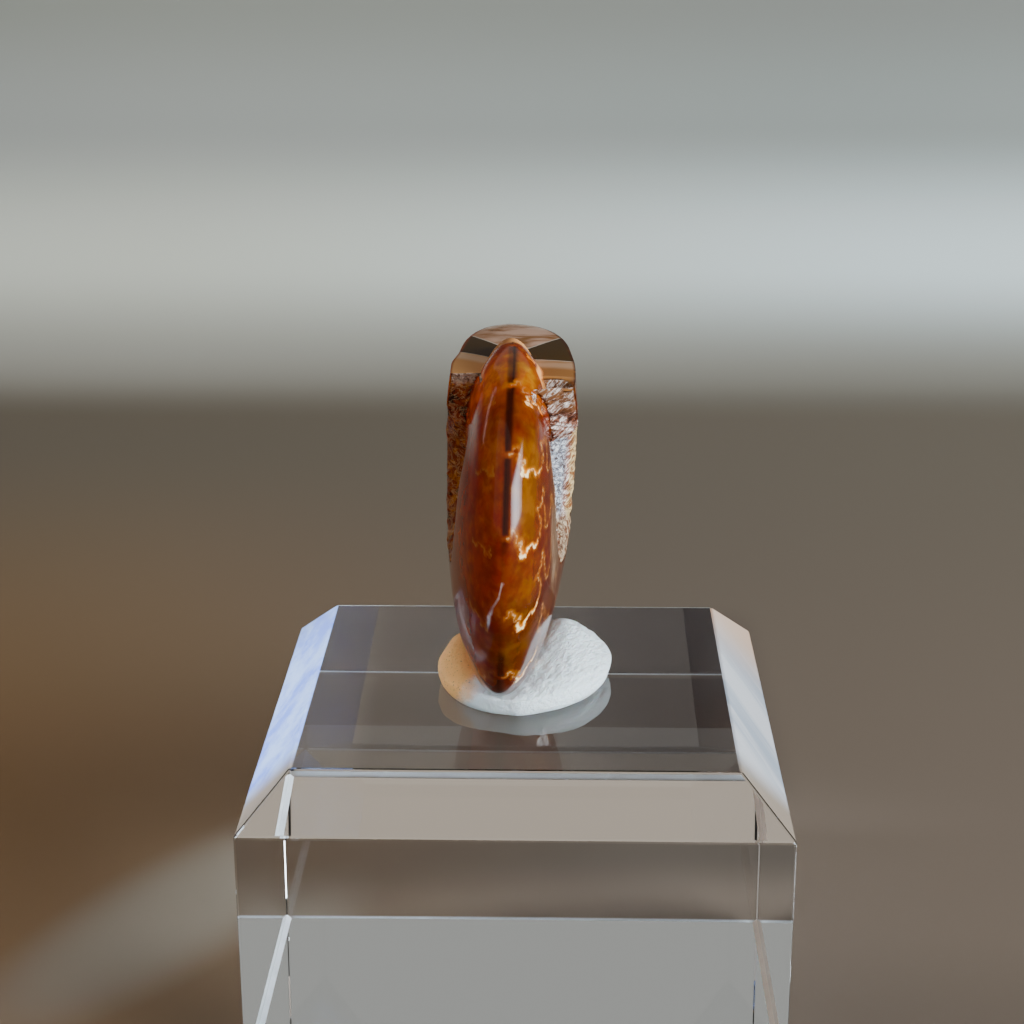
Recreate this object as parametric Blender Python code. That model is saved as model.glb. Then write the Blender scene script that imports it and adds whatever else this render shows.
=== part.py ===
"""A polished ammonite fossil, stood on its keel in white mounting putty on a clear acrylic block.

Three pieces: the acrylic block with bevelled top edges, the putty pressed onto it, and the
fossil.  The fossil's coil lies almost in the YZ plane.  It grows from the top of the coil down
the front, under the bottom and up the back.  Its last half whorl is cut off at the top by a
polished facet, and it breaks off there beside the ridge of the whorl inside it.

The origin is the centre of the block's underside, +Z is up and -Y is the front.
Lengths are in millimetres until the meshes are scaled to metres.
"""
import math

import bmesh
import bpy
import numpy as np
from mathutils import Matrix, Vector, noise

MM = 0.001

# ---- driving dimensions, in millimetres and degrees ----
GAP = 0.25                      # clearance between neighbouring pieces

BLOCK_WIDTH = 50.0
BLOCK_HEIGHT = 30.0
BLOCK_BEVEL = 4.6

COIL_Y = -1.0                   # centre of the coil, above the middle of the block
COIL_Z = BLOCK_HEIGHT + 20.3
COIL_X = -1.25
COIL_LEAN = math.radians(2.0)   # the top of the coil leans to +X
COIL_YAW = math.radians(-1.2)   # the back of the coil turns to -X

KEEL_RADIUS = 14.7              # at the top of the coil, where growth is counted from
WHORL_EXPANSION = 1.75          # growth of the radius in one turn
HALF_THICKNESS = 4.0            # of the whorl at the top of the coil
THICKNESS_EXPANSION = 1.8       # growth of the thickness in one turn
LARGEST_HALF_THICKNESS = {-1: 6.1, 1: 6.85}    # of the left and the right flank
SWELL = {-1: 0.0, 1: 0.13}      # share by which a flank swells under the coil
SWELL_START = 85.0
SWELL_LENGTH = 150.0
END_TAPER = {-1: 0.04, 1: 0.07}     # share that a flank loses towards its break
TAPER_START = 290.0
TAPER_LENGTH = 60.0
RIM_ROUNDING = {-1: 0.09, 1: 0.02}  # share that polishing took off the facet's rim
RIM_REACH = 2.5                 # depth of that rounding below the facet
SHOULDER_DEPTH = 0.66           # widest point of a whorl, as a share of its radius below the keel
UMBILICAL_WALL = 0.11           # width of the wall inside the shoulder, as a share of the radius
FLANK_POWER = 1.5               # 2 would make the whorl's section an ellipse

FACET_Z = BLOCK_HEIGHT + 32.6   # top of the cut and polished end of the last whorl
FACET_CURVE = 200.0             # radius of the facet along the coil
FACET_CROWN = 0.3               # rise of the facet from its rim to its middle
FACET_REACH = 60.0              # degrees behind the top where the facet may begin
BREAK_ANGLE = {-1: 16.0, 1: 31.0}   # growth past the full turn where each flank breaks off
BREAK_WIDTH = 4.0               # degrees taken by the step of the break
BREAK_JAG = 4.0                 # degrees by which the break wanders

COLUMNS = 76                    # directions round the coil
WHORLS = 3                      # whorls that show in the umbilicus

PUTTY_CENTRE = (0.5, -0.2)
PUTTY_HALF_WIDTH = 8.6
PUTTY_HALF_DEPTH = 8.9
PUTTY_WAIST = 1.5               # height of the putty's widest line
PUTTY_LIP = 2.9                 # height of the putty in front of the keel
PUTTY_SKEW = 0.2                # slope by which the right lobe is swept back
PUTTY_LOBES = (                 # x, y, extra height, reach in x, reach in y
    (6.2, 2.0, 3.4, 3.6, 6.0),
    (-5.6, 1.0, 1.8, 2.4, 5.0),
)


# ---- the shape of the fossil ----

def keel_radius(growth):
    """Radius of the keel, a logarithmic spiral of the growth angle in degrees."""
    return KEEL_RADIUS * WHORL_EXPANSION ** (growth / 360.0)


def ease(value):
    """A smooth step from 0 to 1."""
    value = np.clip(value, 0.0, 1.0)
    return value * value * (3.0 - 2.0 * value)


def half_thickness(growth, side):
    """Half the thickness of the whorl, growing each turn until it meets a largest value."""
    free = HALF_THICKNESS * THICKNESS_EXPANSION ** (growth / 360.0)
    free *= 1.0 + SWELL[side] * ease((growth - SWELL_START) / SWELL_LENGTH)
    limited = (free ** -24 + LARGEST_HALF_THICKNESS[side] ** -24) ** (-1 / 24)
    return limited * (1.0 - END_TAPER[side] * ease((growth - TAPER_START) / TAPER_LENGTH))


def whorl_width(radius, growth, side):
    """Half width of one whorl at a radius: narrow keel, full flank, round umbilical shoulder."""
    depth = 1.0 - radius / keel_radius(growth)
    flank = np.clip(depth / SHOULDER_DEPTH, 0.0, 1.0)
    wall = np.clip((depth - SHOULDER_DEPTH) / UMBILICAL_WALL, 0.0, 1.0)
    section = np.sqrt(1.0 - (1.0 - flank) ** FLANK_POWER) * np.sqrt(1.0 - wall ** 2)
    return half_thickness(growth, side) * section


def coil_width(radius, turn, side):
    """Half width of the coil without its last, broken whorl: the widest of the nested whorls."""
    nested = [whorl_width(radius, turn - 360.0 * inner, side) for inner in range(WHORLS)]
    centre = np.full_like(radius, half_thickness(-360.0 * WHORLS, side))
    return np.maximum.reduce(nested + [np.where(radius < keel_radius(turn) / 2, centre, 0.0)])


def last_whorl_width(radius, turn, side):
    """Half width of the part of the last whorl that lies past the full turn, up to its break."""
    wander = np.array([noise.noise(Vector((0.55 * r, 3.0 * side, 0.0))) for r in radius])
    end = BREAK_ANGLE[side] + BREAK_JAG * wander
    return whorl_width(radius, turn + 360.0, side) * ease((end - turn) / BREAK_WIDTH + 0.5)


def facet_radius(turn):
    """Distance from the coil's centre to the polished facet, in a direction round the coil."""
    radius = KEEL_RADIUS
    for _ in range(6):
        y = COIL_Y - radius * math.sin(math.radians(turn))
        z = FACET_Z - y * y / (2.0 * FACET_CURVE)
        radius = (z - COIL_Z) / math.cos(math.radians(turn))
    return radius


def column(turn, side):
    """Radii and half widths of one flank in one direction, from the coil's centre to its edge."""
    signed = turn - 360.0 if turn > 180.0 else turn
    keel = float(keel_radius(turn))
    inner_edge = np.array([1.2, 2.0, 2.8, 3.6, 4.3, 5.0, 5.7, 6.4, 7.2, 8.0])
    fine_end = np.array([0.25, 0.47, 0.67, 0.84, 0.95, 1.0])

    cut = facet_radius(turn) if -FACET_REACH < signed < 50.0 else keel
    is_cut = cut < keel - 0.1 and signed <= BREAK_ANGLE[1] + 5.0
    if not is_cut:
        rim = 0.85 * keel
        rim += (cut - rim) * max(0.0, 1.0 - abs(signed - BREAK_ANGLE[1] - 5.0) / 14.0) * (signed > 0)
        outer = rim + (keel - rim) * fine_end
    else:
        rim = cut
        ridge = float(keel_radius(signed))
        edge = max(ridge, min(cut + 0.5, keel))
        crown = min(FACET_CROWN, 0.4 * (edge - cut))
        outer = np.array([cut + 0.4 * crown, cut + crown])
        outer = np.append(outer, outer[-1] + (edge - outer[-1]) * np.array([0.3, 0.6, 0.87, 1.0]))
    flank = inner_edge[-1] + (rim - inner_edge[-1]) * np.linspace(0.2, 1.0, 5)
    radius = np.concatenate([inner_edge, flank, outer])

    if signed < 0.0:
        ridge_width = coil_width(radius, signed, side)
        rounding = RIM_ROUNDING[side] * ease(-signed / 25.0)
        rounding = rounding * np.exp(-np.maximum(rim - radius, 0.0) / RIM_REACH) * is_cut
        width = np.maximum(coil_width(radius, turn, side) * (1.0 - rounding), ridge_width)
    else:
        ridge_width = coil_width(radius, turn, side)
        width = np.maximum(ridge_width, last_whorl_width(radius, turn, side))
    if is_cut:
        rim_index = len(inner_edge) + len(flank) - 1
        emerged = np.clip((ridge - cut - 0.5) / 0.5, 0.0, 1.0)
        share = np.array([0.72, 0.45, 0.33, 0.2, 0.07, 0.0])
        plain = width[rim_index] * share * (1.0 - emerged)
        foot = ridge_width[rim_index + 2]
        slope = foot + (width[rim_index] - foot) * np.array([0.45, 0.0])
        width[rim_index + 1:] = np.maximum(ridge_width[rim_index + 1:], plain)
        width[rim_index + 1:rim_index + 3] = np.maximum(slope * emerged, width[rim_index + 1:rim_index + 3])
    width[-1] = 0.0
    return radius, width


def coil_point(turn, radius, offset):
    """A point of the fossil: direction round the coil, distance from its centre, and offset."""
    dy = -radius * math.sin(math.radians(turn))
    dz = radius * math.cos(math.radians(turn))
    x = COIL_X + math.tan(COIL_LEAN) * dz + math.tan(COIL_YAW) * dy + offset
    return Vector((x, COIL_Y + dy, COIL_Z + dz))


def make_ammonite():
    """Loft the columns round the coil, both flanks at once, into one closed solid."""
    mesh = bmesh.new()
    rings = []
    for index in range(COLUMNS):
        turn = 360.0 * (index + 0.5) / COLUMNS
        radius, left = column(turn, -1)
        right = column(turn, 1)[1]
        points = [coil_point(turn, r, -w) for r, w in zip(radius, left)]
        points += [coil_point(turn, r, w) for r, w in zip(radius[-2::-1], right[-2::-1])]
        rings.append([mesh.verts.new(p) for p in points])
    left_pole, right_pole = (
        mesh.verts.new(coil_point(0.0, 0.0, side * float(half_thickness(-360.0 * WHORLS, side))))
        for side in (-1, 1)
    )
    for ring, following in zip(rings, rings[1:] + rings[:1]):
        mesh.faces.new((left_pole, ring[0], following[0]))
        mesh.faces.new((right_pole, following[-1], ring[-1]))
        for near in range(len(ring) - 1):
            mesh.faces.new((ring[near], ring[near + 1], following[near + 1], following[near]))
    bmesh.ops.recalc_face_normals(mesh, faces=mesh.faces)
    return finish_mesh(mesh, "ammonite")


# ---- the stand ----

def make_block():
    """The acrylic block: a cube whose four top edges are bevelled, with mitred corners."""
    mesh = bmesh.new()
    size = Matrix.Diagonal((BLOCK_WIDTH, BLOCK_WIDTH, BLOCK_HEIGHT, 1.0))
    place = Matrix.Translation((0.0, 0.0, BLOCK_HEIGHT / 2.0))
    bmesh.ops.create_cube(mesh, size=1.0, matrix=place @ size)
    top = [e for e in mesh.edges if all(v.co.z > BLOCK_HEIGHT / 2.0 for v in e.verts)]
    bmesh.ops.bevel(mesh, geom=top, offset=BLOCK_BEVEL, segments=1, affect="EDGES")
    return finish_mesh(mesh, "acrylic_block")


def putty_height(x, y):
    """Height of the putty's upper side: a low lip with a tall lobe right and a low one left."""
    lobes = sum(
        extra * math.exp(-((x - cx) / reach_x) ** 2 - ((y - cy) / reach_y) ** 2)
        for cx, cy, extra, reach_x, reach_y in PUTTY_LOBES
    )
    return PUTTY_LIP + lobes


def make_putty():
    """The putty: a sphere pressed out into a flat-bottomed pillow, uneven as if by thumbs."""
    mesh = bmesh.new()
    bmesh.ops.create_uvsphere(mesh, u_segments=36, v_segments=18, radius=1.0)
    for vertex in mesh.verts:
        ball = vertex.co.copy()
        spread = math.hypot(ball.x, ball.y) ** -0.35 if math.hypot(ball.x, ball.y) > 1e-6 else 0.0
        dent = 1.0 + 0.04 * noise.noise(2.0 * ball)
        x = PUTTY_CENTRE[0] + PUTTY_HALF_WIDTH * ball.x * spread * dent
        y = PUTTY_CENTRE[1] + PUTTY_HALF_DEPTH * ball.y * spread * dent
        y += PUTTY_SKEW * max(0.0, x)
        above = putty_height(x, y) - PUTTY_WAIST
        rise = above if ball.z > 0.0 else 2.0 * PUTTY_WAIST
        z = max(GAP, PUTTY_WAIST + rise * math.copysign(abs(ball.z) ** 0.8, ball.z))
        vertex.co = (x, y, BLOCK_HEIGHT + z)
    return finish_mesh(mesh, "mounting_putty")


# ---- helpers ----

def finish_mesh(mesh, name):
    """Scale a mesh from millimetres to metres and make it an object of the model."""
    bmesh.ops.scale(mesh, vec=(MM, MM, MM), verts=mesh.verts)
    data = bpy.data.meshes.new(name)
    mesh.to_mesh(data)
    mesh.free()
    return bpy.data.objects.new(name, data)


def material(name, colour, roughness, transmission=0.0):
    """A plain Principled material."""
    result = bpy.data.materials.new(name)
    result.use_nodes = True
    shader = result.node_tree.nodes["Principled BSDF"]
    shader.inputs["Base Color"].default_value = (*colour, 1.0)
    shader.inputs["Roughness"].default_value = roughness
    shader.inputs["Metallic"].default_value = 0.0
    shader.inputs["Transmission Weight"].default_value = transmission
    return result


def main():
    for old in list(bpy.data.objects):
        bpy.data.objects.remove(old, do_unlink=True)
    model = bpy.data.collections.new("ammonite_on_block")
    cutters = bpy.data.collections.new("cutters")
    bpy.context.scene.collection.children.link(model)
    bpy.context.scene.collection.children.link(cutters)

    ammonite = make_ammonite()
    block = make_block()
    putty = make_putty()
    for piece in (ammonite, block, putty):
        model.objects.link(piece)

    ammonite.data.materials.append(material("amber stone", (0.42, 0.14, 0.03), 0.12))
    block.data.materials.append(material("clear acrylic", (0.95, 0.97, 0.97), 0.02, 1.0))
    putty.data.materials.append(material("white putty", (0.80, 0.80, 0.78), 0.75))
    for face in ammonite.data.polygons:
        face.use_smooth = True
    ammonite.data.set_sharp_from_angle(angle=math.radians(40.0))
    putty.data.shade_smooth()

    # the fossil's print in the putty is the fossil itself, grown by the clearance
    print_cutter = bpy.data.objects.new("ammonite_print", ammonite.data.copy())
    cutters.objects.link(print_cutter)
    print_cutter.hide_render = True
    print_cutter.display_type = "WIRE"
    grow = print_cutter.modifiers.new("clearance", "DISPLACE")
    grow.mid_level = 0.0
    grow.strength = GAP * MM
    cut = putty.modifiers.new("fossil_print", "BOOLEAN")
    cut.operation = "DIFFERENCE"
    cut.object = print_cutter


main()
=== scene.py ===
# %% [markdown]
# # A polished ammonite on a clear block
# An ammonite is a coiled shell that was divided into chambers.  This one was turned to stone,
# ground and polished until the outer shell was gone, and stood on its keel in a pad of white
# putty on an acrylic block.  Seen from the front it is a narrow lens of amber-coloured stone,
# crossed by the frilled lines, called sutures, where the chamber walls met the shell.
#
# The lesson builds it in this order: camera and light, the block, the putty, the stone's
# shape, the suture pattern, and last the finishes.

# %% Load the frame
import math

import bmesh
import bpy
import numpy as np
from mathutils import Matrix, Vector, noise


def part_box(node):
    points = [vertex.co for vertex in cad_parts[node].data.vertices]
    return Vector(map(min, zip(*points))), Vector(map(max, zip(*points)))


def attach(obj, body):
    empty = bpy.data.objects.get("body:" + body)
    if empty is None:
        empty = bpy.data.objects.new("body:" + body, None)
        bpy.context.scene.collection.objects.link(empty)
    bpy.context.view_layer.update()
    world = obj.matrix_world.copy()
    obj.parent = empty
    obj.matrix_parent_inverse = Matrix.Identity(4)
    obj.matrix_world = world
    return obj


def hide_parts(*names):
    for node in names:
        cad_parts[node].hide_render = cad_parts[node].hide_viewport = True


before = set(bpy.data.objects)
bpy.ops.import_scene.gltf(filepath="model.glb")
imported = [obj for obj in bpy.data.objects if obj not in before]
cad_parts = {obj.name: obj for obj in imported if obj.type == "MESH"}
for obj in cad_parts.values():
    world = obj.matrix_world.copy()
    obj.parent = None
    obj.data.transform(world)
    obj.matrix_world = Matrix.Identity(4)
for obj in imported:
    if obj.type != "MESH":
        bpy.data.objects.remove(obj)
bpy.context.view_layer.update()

MM = 0.001
block_low, block_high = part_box("acrylic_block")
BLOCK_WIDTH = (block_high.x - block_low.x) / MM
BLOCK_HEIGHT = block_high.z / MM
print(f"the block is {BLOCK_WIDTH:.1f} mm wide and {BLOCK_HEIGHT:.1f} mm tall")

# %% [markdown]
# ## Camera
# The camera stands about 19 cm in front of the fossil, a little above it, and looks down by
# just under 19 degrees, so the top of the block shows as a narrow trapezium.

# %% Camera
CAMERA_PLACE = (0.0040956, -0.1880195, 0.1111401)
CAMERA_YAW = math.radians(1.47307)
CAMERA_PITCH = math.radians(90.0 - 18.64771)
CAMERA_ROLL = math.radians(-0.15922)

camera_data = bpy.data.cameras.new("camera")
camera_data.sensor_width = 36.0
camera_data.lens = 72.21
camera_data.clip_start = 0.005
camera = bpy.data.objects.new("camera", camera_data)
turn_about = Matrix.Rotation(CAMERA_YAW, 4, "Z") @ Matrix.Rotation(CAMERA_PITCH, 4, "X")
camera.matrix_world = (
    Matrix.Translation(CAMERA_PLACE) @ turn_about @ Matrix.Rotation(CAMERA_ROLL, 4, "Z")
)
bpy.context.scene.collection.objects.link(camera)
bpy.context.scene.camera = camera
print("camera", [round(value, 4) for value in camera.location])

# %% [markdown]
# ## From numbers to meshes
# Every new shape below is a grid: an array of points with one row of the array for each step
# in one direction and one column for each step in the other.  One helper turns such an array
# into a mesh, and another writes numbers onto its points, for the materials to read.

# %% Grid helpers
def grid_object(name, points, closed_rows=False, poles=()):
    """Make a mesh of an array of points shaped (rows, columns, 3), in millimetres.

    Neighbouring points make a four-sided face.  closed_rows joins the last row to the first.
    poles holds two points, joined to the first and the last column by a fan of triangles.
    """
    rows, columns, _ = points.shape
    index = np.arange(rows * columns).reshape(rows, columns)
    if closed_rows:
        index = np.vstack([index, index[:1]])
    quads = np.stack([index[:-1, :-1], index[1:, :-1], index[1:, 1:], index[:-1, 1:]], axis=-1)
    faces = quads.reshape(-1, 4).tolist()
    vertices = points.reshape(-1, 3)
    if len(poles):
        first, last = rows * columns, rows * columns + 1
        vertices = np.vstack([vertices, poles])
        faces += [(first, b, a) for a, b in zip(index[:-1, 0].tolist(), index[1:, 0].tolist())]
        faces += [(last, a, b) for a, b in zip(index[:-1, -1].tolist(), index[1:, -1].tolist())]
    mesh = bpy.data.meshes.new(name)
    mesh.from_pydata((vertices * MM).tolist(), [], faces)
    piece = bpy.data.objects.new(name, mesh)
    bpy.context.scene.collection.objects.link(piece)
    return piece


def write_attribute(piece, name, values):
    """Store one number for each point of a mesh, under a name that a material can read."""
    attribute = piece.data.attributes.new(name, "FLOAT", "POINT")
    padded = np.zeros(len(piece.data.vertices), np.float32)
    padded[:values.size] = values.reshape(-1)
    attribute.data.foreach_set("value", padded)


def tidy_mesh(piece, smallest=2e-6):
    """Merge points closer than 0.002 mm, and turn every face outwards."""
    work = bmesh.new()
    work.from_mesh(piece.data)
    bmesh.ops.remove_doubles(work, verts=work.verts, dist=smallest)
    bmesh.ops.recalc_face_normals(work, faces=work.faces)
    open_edges = sum(1 for edge in work.edges if len(edge.link_faces) != 2)
    triangles = sum(len(face.verts) - 2 for face in work.faces)
    work.to_mesh(piece.data)
    work.free()
    print(f"{piece.name}: {triangles} triangles, {open_edges} open edges")


def ease(value):
    """A smooth step from 0 to 1: 3v^2 - 2v^3 between the two, and level outside them."""
    value = np.clip(value, 0.0, 1.0)
    return value * value * (3.0 - 2.0 * value)


def grain(points, scale, seed):
    """Smooth noise from -1 to 1: random numbers on a lattice of cubes, eased between corners."""
    place = np.asarray(points, float) / scale + 31.7 * seed
    cell = np.floor(place).astype(np.int64)
    part = ease(place - cell)
    total = np.zeros(place.shape[:-1])
    for corner in np.ndindex(2, 2, 2):
        x, y, z = (cell[..., axis] + corner[axis] for axis in range(3))
        mixed = (x * 73856093) ^ (y * 19349663) ^ (z * 83492791) ^ (seed * 2654435761)
        mixed = (mixed ^ (mixed >> 13)) * 1274126177 & 0xFFFFFF
        weight = np.ones(place.shape[:-1])
        for axis in range(3):
            near = part[..., axis]
            weight = weight * (near if corner[axis] else 1.0 - near)
        total += weight * (mixed / 0x7FFFFF - 1.0)
    return total


def layered_grain(points, scale, seed, layers=3):
    """Noise with finer noise on it: each layer is half the size and 0.55 times the height."""
    return sum(0.55 ** n * grain(points, scale / 2 ** n, seed + n) for n in range(layers))


# %% [markdown]
# ## The stage
# A sweep is a floor that curves up into a wall, so that no edge shows behind the object.  It
# is the simplest grid of all: one profile, and the same profile again further along.  The
# block stands a quarter of a millimetre above the floor, because two surfaces in exactly the
# same place would show through each other.

# %% Stage
STAGE_HALF_WIDTH = 1200.0
FLOOR_FRONT = -1200.0
FLOOR_BACK = 215.0
SWEEP_RADIUS = 70.0
WALL_TOP = 76.0
BEND_POINTS = 40
AIR_UNDER_BLOCK = 0.25


def sweep_profile(count):
    """Places and heights along the floor, then a quarter circle, then the wall."""
    floor = np.array([[FLOOR_FRONT, 0.0], [FLOOR_BACK, 0.0]])
    angle = np.linspace(0.0, math.pi / 2, count)[1:]
    bend = np.stack([FLOOR_BACK + SWEEP_RADIUS * np.sin(angle),
                     SWEEP_RADIUS * (1.0 - np.cos(angle))], axis=-1)
    wall = np.array([[FLOOR_BACK + SWEEP_RADIUS, WALL_TOP]])
    return np.vstack([floor, bend, wall])


profile = sweep_profile(BEND_POINTS)
sweep = np.empty((2, len(profile), 3))
sweep[..., 0] = np.array([-STAGE_HALF_WIDTH, STAGE_HALF_WIDTH])[:, None]
sweep[..., 1] = profile[:, 0]
sweep[..., 2] = profile[:, 1] - AIR_UNDER_BLOCK
stage = grid_object("stage", sweep)
stage.data.shade_smooth()
print("the stage has", len(stage.data.polygons), "faces")

# %% [markdown]
# ## Light
# A large cool window stands at the right and a little in front, and gives the long soft
# highlight beside the keel.  It is made of three panes, each a little behind the last and
# smaller, so that the highlight is brightest in its middle.  A much larger warm panel at the
# left front fills the shadows.  A narrow strip at the left rear draws a streak on the other
# flank, two wide panels high at the back brighten the block, and a small cool lamp lights the
# block's left bevel.  All are soft, and the room fills the rest.

# %% Light
TARGET = Vector((0.0, -0.010, 0.050))


def soft_light(name, place, target, size, power, colour):
    """An area light at a place, aimed at a target, with its size and power in metres and watts."""
    data = bpy.data.lights.new(name, "AREA")
    data.shape = "RECTANGLE"
    data.size, data.size_y = size
    data.energy = power
    data.color = colour
    light = bpy.data.objects.new(name, data)
    light.location = place
    light.rotation_euler = (Vector(place) - Vector(target)).to_track_quat("Z", "Y").to_euler()
    bpy.context.scene.collection.objects.link(light)
    return light


def around_target(azimuth, elevation, distance):
    """A place given by its direction from the fossil.  Azimuth 0 is the front and 90 the right."""
    around = math.radians(azimuth)
    up = math.radians(elevation)
    level = math.cos(up)
    toward = Vector((math.sin(around) * level, -math.cos(around) * level, math.sin(up)))
    return TARGET + distance * toward


WINDOW_PANES = (((0.82, 0.50), 13.0), ((0.52, 0.40), 6.6), ((0.24, 0.32), 1.2))
WINDOW_AZIMUTH, WINDOW_ELEVATION, WINDOW_DISTANCE = 60.0, 10.0, 0.75
PANE_GAP = 0.002
WINDOW_COLOUR = (0.84, 0.93, 1.0)
for pane, (size, power) in enumerate(WINDOW_PANES):
    place = around_target(WINDOW_AZIMUTH, WINDOW_ELEVATION, WINDOW_DISTANCE + PANE_GAP * pane)
    soft_light(f"window_{pane}", place, TARGET, size, power, WINDOW_COLOUR)

PANELS = (  # name, azimuth, elevation, distance, size, power, colour
    ("front_fill", -25.0, 22.0, 1.20, (3.60, 2.60), 11.5, (1.0, 0.92, 0.84)),
    ("rear_strip", -125.0, 14.0, 0.80, (0.030, 0.62), 0.14, (1.0, 0.72, 0.68)),
    ("rear_low", 180.0, 29.2, 0.90, (1.20, 0.18), 0.19, (0.97, 1.0, 0.95)),
    ("rear_high", 180.0, 51.0, 0.90, (1.20, 0.50), 0.78, (1.0, 0.84, 0.66)),
)
for name, azimuth, elevation, distance, size, power, colour in PANELS:
    soft_light(name, around_target(azimuth, elevation, distance), TARGET, size, power, colour)

lamp = soft_light("bevel_lamp", (-0.080, 0.0, 0.075), (-0.025, 0.0, 0.028), (0.050, 0.016),
                  0.013, (0.72, 0.84, 1.0))
lamp.data.spread = math.radians(24.0)

world = bpy.data.worlds.new("room")
bpy.context.scene.world = world
world.use_nodes = True
sky = world.node_tree.nodes["Background"]
sky.inputs["Color"].default_value = (0.95, 0.93, 0.92, 1.0)
sky.inputs["Strength"].default_value = 0.07

# %% [markdown]
# ## A short way to write materials
# A material is a graph of nodes.  The helper below adds a node, sets its settings, and links
# or fills its inputs in one call, so that each finish reads as a list of layers.  Most layers
# work the same way: a mask, a number from 0 to 1, says where one colour gives way to another.

# %% Material helper
class Finish:
    """One material and short calls for the nodes in it."""

    def __init__(self, name):
        self.material = bpy.data.materials.new(name)
        self.material.use_nodes = True
        self.tree = self.material.node_tree
        self.shader = self.tree.nodes["Principled BSDF"]
        self.place = self.node("ShaderNodeTexCoord").outputs["Object"]
        self.x, self.y, self.z = self.node("ShaderNodeSeparateXYZ", {"Vector": self.place}).outputs

    def feed(self, socket, value):
        """Link a node's output to a socket, or set the socket to a plain value."""
        if isinstance(value, bpy.types.NodeSocket):
            self.tree.links.new(value, socket)
        elif isinstance(value, tuple) and len(value) == 3 and socket.type == "RGBA":
            socket.default_value = (*value, 1.0)
        else:
            socket.default_value = value

    def node(self, kind, inputs=None, **settings):
        """Add a node of one kind, with its inputs and its settings."""
        made = self.tree.nodes.new(kind)
        for key, value in settings.items():
            setattr(made, key, value)
        for key, value in (inputs or {}).items():
            self.feed(made.inputs[key], value)
        return made

    def sum(self, operation, first, second=0.0, third=0.0):
        """Arithmetic on numbers: SUBTRACT, MAXIMUM and so on."""
        inputs = {0: first, 1: second, 2: third}
        return self.node("ShaderNodeMath", inputs, operation=operation).outputs[0]

    def times(self, first, second):
        """One number times another."""
        return self.sum("MULTIPLY", first, second)

    def product(self, first, *others):
        """Several numbers multiplied together."""
        for other in others:
            first = self.times(first, other)
        return first

    def plus(self, first, second):
        """One number and another."""
        return self.sum("ADD", first, second)

    def scaled(self, value, factor, offset):
        """A number times a factor, and an offset added."""
        return self.sum("MULTIPLY_ADD", value, factor, offset)

    def size(self, value):
        """A number without its sign."""
        return self.sum("ABSOLUTE", value)

    def step(self, value, low, high):
        """0 below low, 1 above high, and a smooth rise between them."""
        inputs = {"Value": value, "From Min": low, "From Max": high}
        made = self.node("ShaderNodeMapRange", inputs, interpolation_type="SMOOTHSTEP")
        return made.outputs["Result"]

    def fade(self, value, low, high):
        """1 below low, 0 above high, and a smooth fall between them."""
        return self.sum("SUBTRACT", 1.0, self.step(value, low, high))

    def mix(self, share, first, second, blend="MIX"):
        """A colour between two others."""
        made = self.node("ShaderNodeMix", data_type="RGBA", blend_type=blend)
        self.feed(made.inputs["Factor"], share)
        self.feed(made.inputs["A"], first)
        self.feed(made.inputs["B"], second)
        return made.outputs["Result"]

    def tint(self, share, colour, factor):
        """A colour multiplied by another, as far as the share says."""
        return self.mix(share, colour, factor, "MULTIPLY")

    def along(self, lengths, turn=(0.0, 0.0, 0.0)):
        """Object coordinates measured along turned axes, in units of the given lengths."""
        inputs = {"Vector": self.place, "Rotation": turn, "Scale": lengths}
        return self.node("ShaderNodeMapping", inputs, vector_type="TEXTURE").outputs["Vector"]

    def noise(self, size, detail=4.0, roughness=0.5, twist=0.0, where=None):
        """Cloudy noise from 0 to 1, with lumps of about the given size in millimetres."""
        inputs = {"Vector": where or self.place, "Scale": 1.0 / (size * MM), "Detail": detail,
                  "Roughness": roughness, "Distortion": twist}
        return self.node("ShaderNodeTexNoise", inputs).outputs["Fac"]

    def strands(self, lengths, turn=(0.0, 0.0, 0.0), detail=6.0, roughness=0.7, twist=0.3):
        """Noise drawn out along turned axes, with lumps of the given three sizes in metres."""
        return self.noise(1000.0, detail, roughness, twist, self.along(lengths, turn))

    def attribute(self, name):
        """A number stored on the mesh."""
        return self.node("ShaderNodeAttribute", attribute_name=name).outputs["Fac"]

    def bump(self, height, depth, below=None):
        """A bump of the given depth in millimetres, on top of another bump."""
        inputs = {"Height": height, "Distance": depth * MM, "Strength": 1.0}
        if below:
            inputs["Normal"] = below
        return self.node("ShaderNodeBump", inputs).outputs["Normal"]

    def set(self, **values):
        """Set sockets of the shader, whose names have spaces where these have _."""
        for key, value in values.items():
            self.feed(self.shader.inputs[key.replace("_", " ")], value)

    def done(self, piece):
        """Put the material on a piece and say how many nodes it has."""
        piece.data.materials.append(self.material)
        print(self.material.name, "has", len(self.tree.nodes), "nodes")


# %% [markdown]
# ## The paint of the stage
# The floor is a warm grey, with painted warm light that makes it browner and lighter at the
# left near the block, and a soft lighter patch of painted light at the left front, for the light
# thrown through the block.  It is also darker towards the front.  A clear block shows the floor
# under and behind it as well, so three soft squares of painted shade and light are painted
# there, and a bright line of painted light along its rear foot.  The wall is painted in level
# bands that run into each other, as painted light: brightest low down and cooler at the right,
# darker at its foot and head and towards the sides.

# %% Floor paint
FLOOR_NEAR_WARM_LIT = ((0.173, 0.127, 0.091), (0.335, 0.182, 0.064))
FLOOR_FAR = ((0.152, 0.121, 0.085), (0.150, 0.118, 0.080))
PATCH_ACROSS = (76.7, -48.7, 3.17)
PATCH_ALONG = (-16.8, -26.4, -0.375)
THROWN_LIGHT_COLOUR = (0.36, 0.30, 0.235)
REAR_FOOT = 0.0256
BLOCK_EDGE = (0.0240, 0.0252)
studio = Finish("stage_grey")


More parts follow.
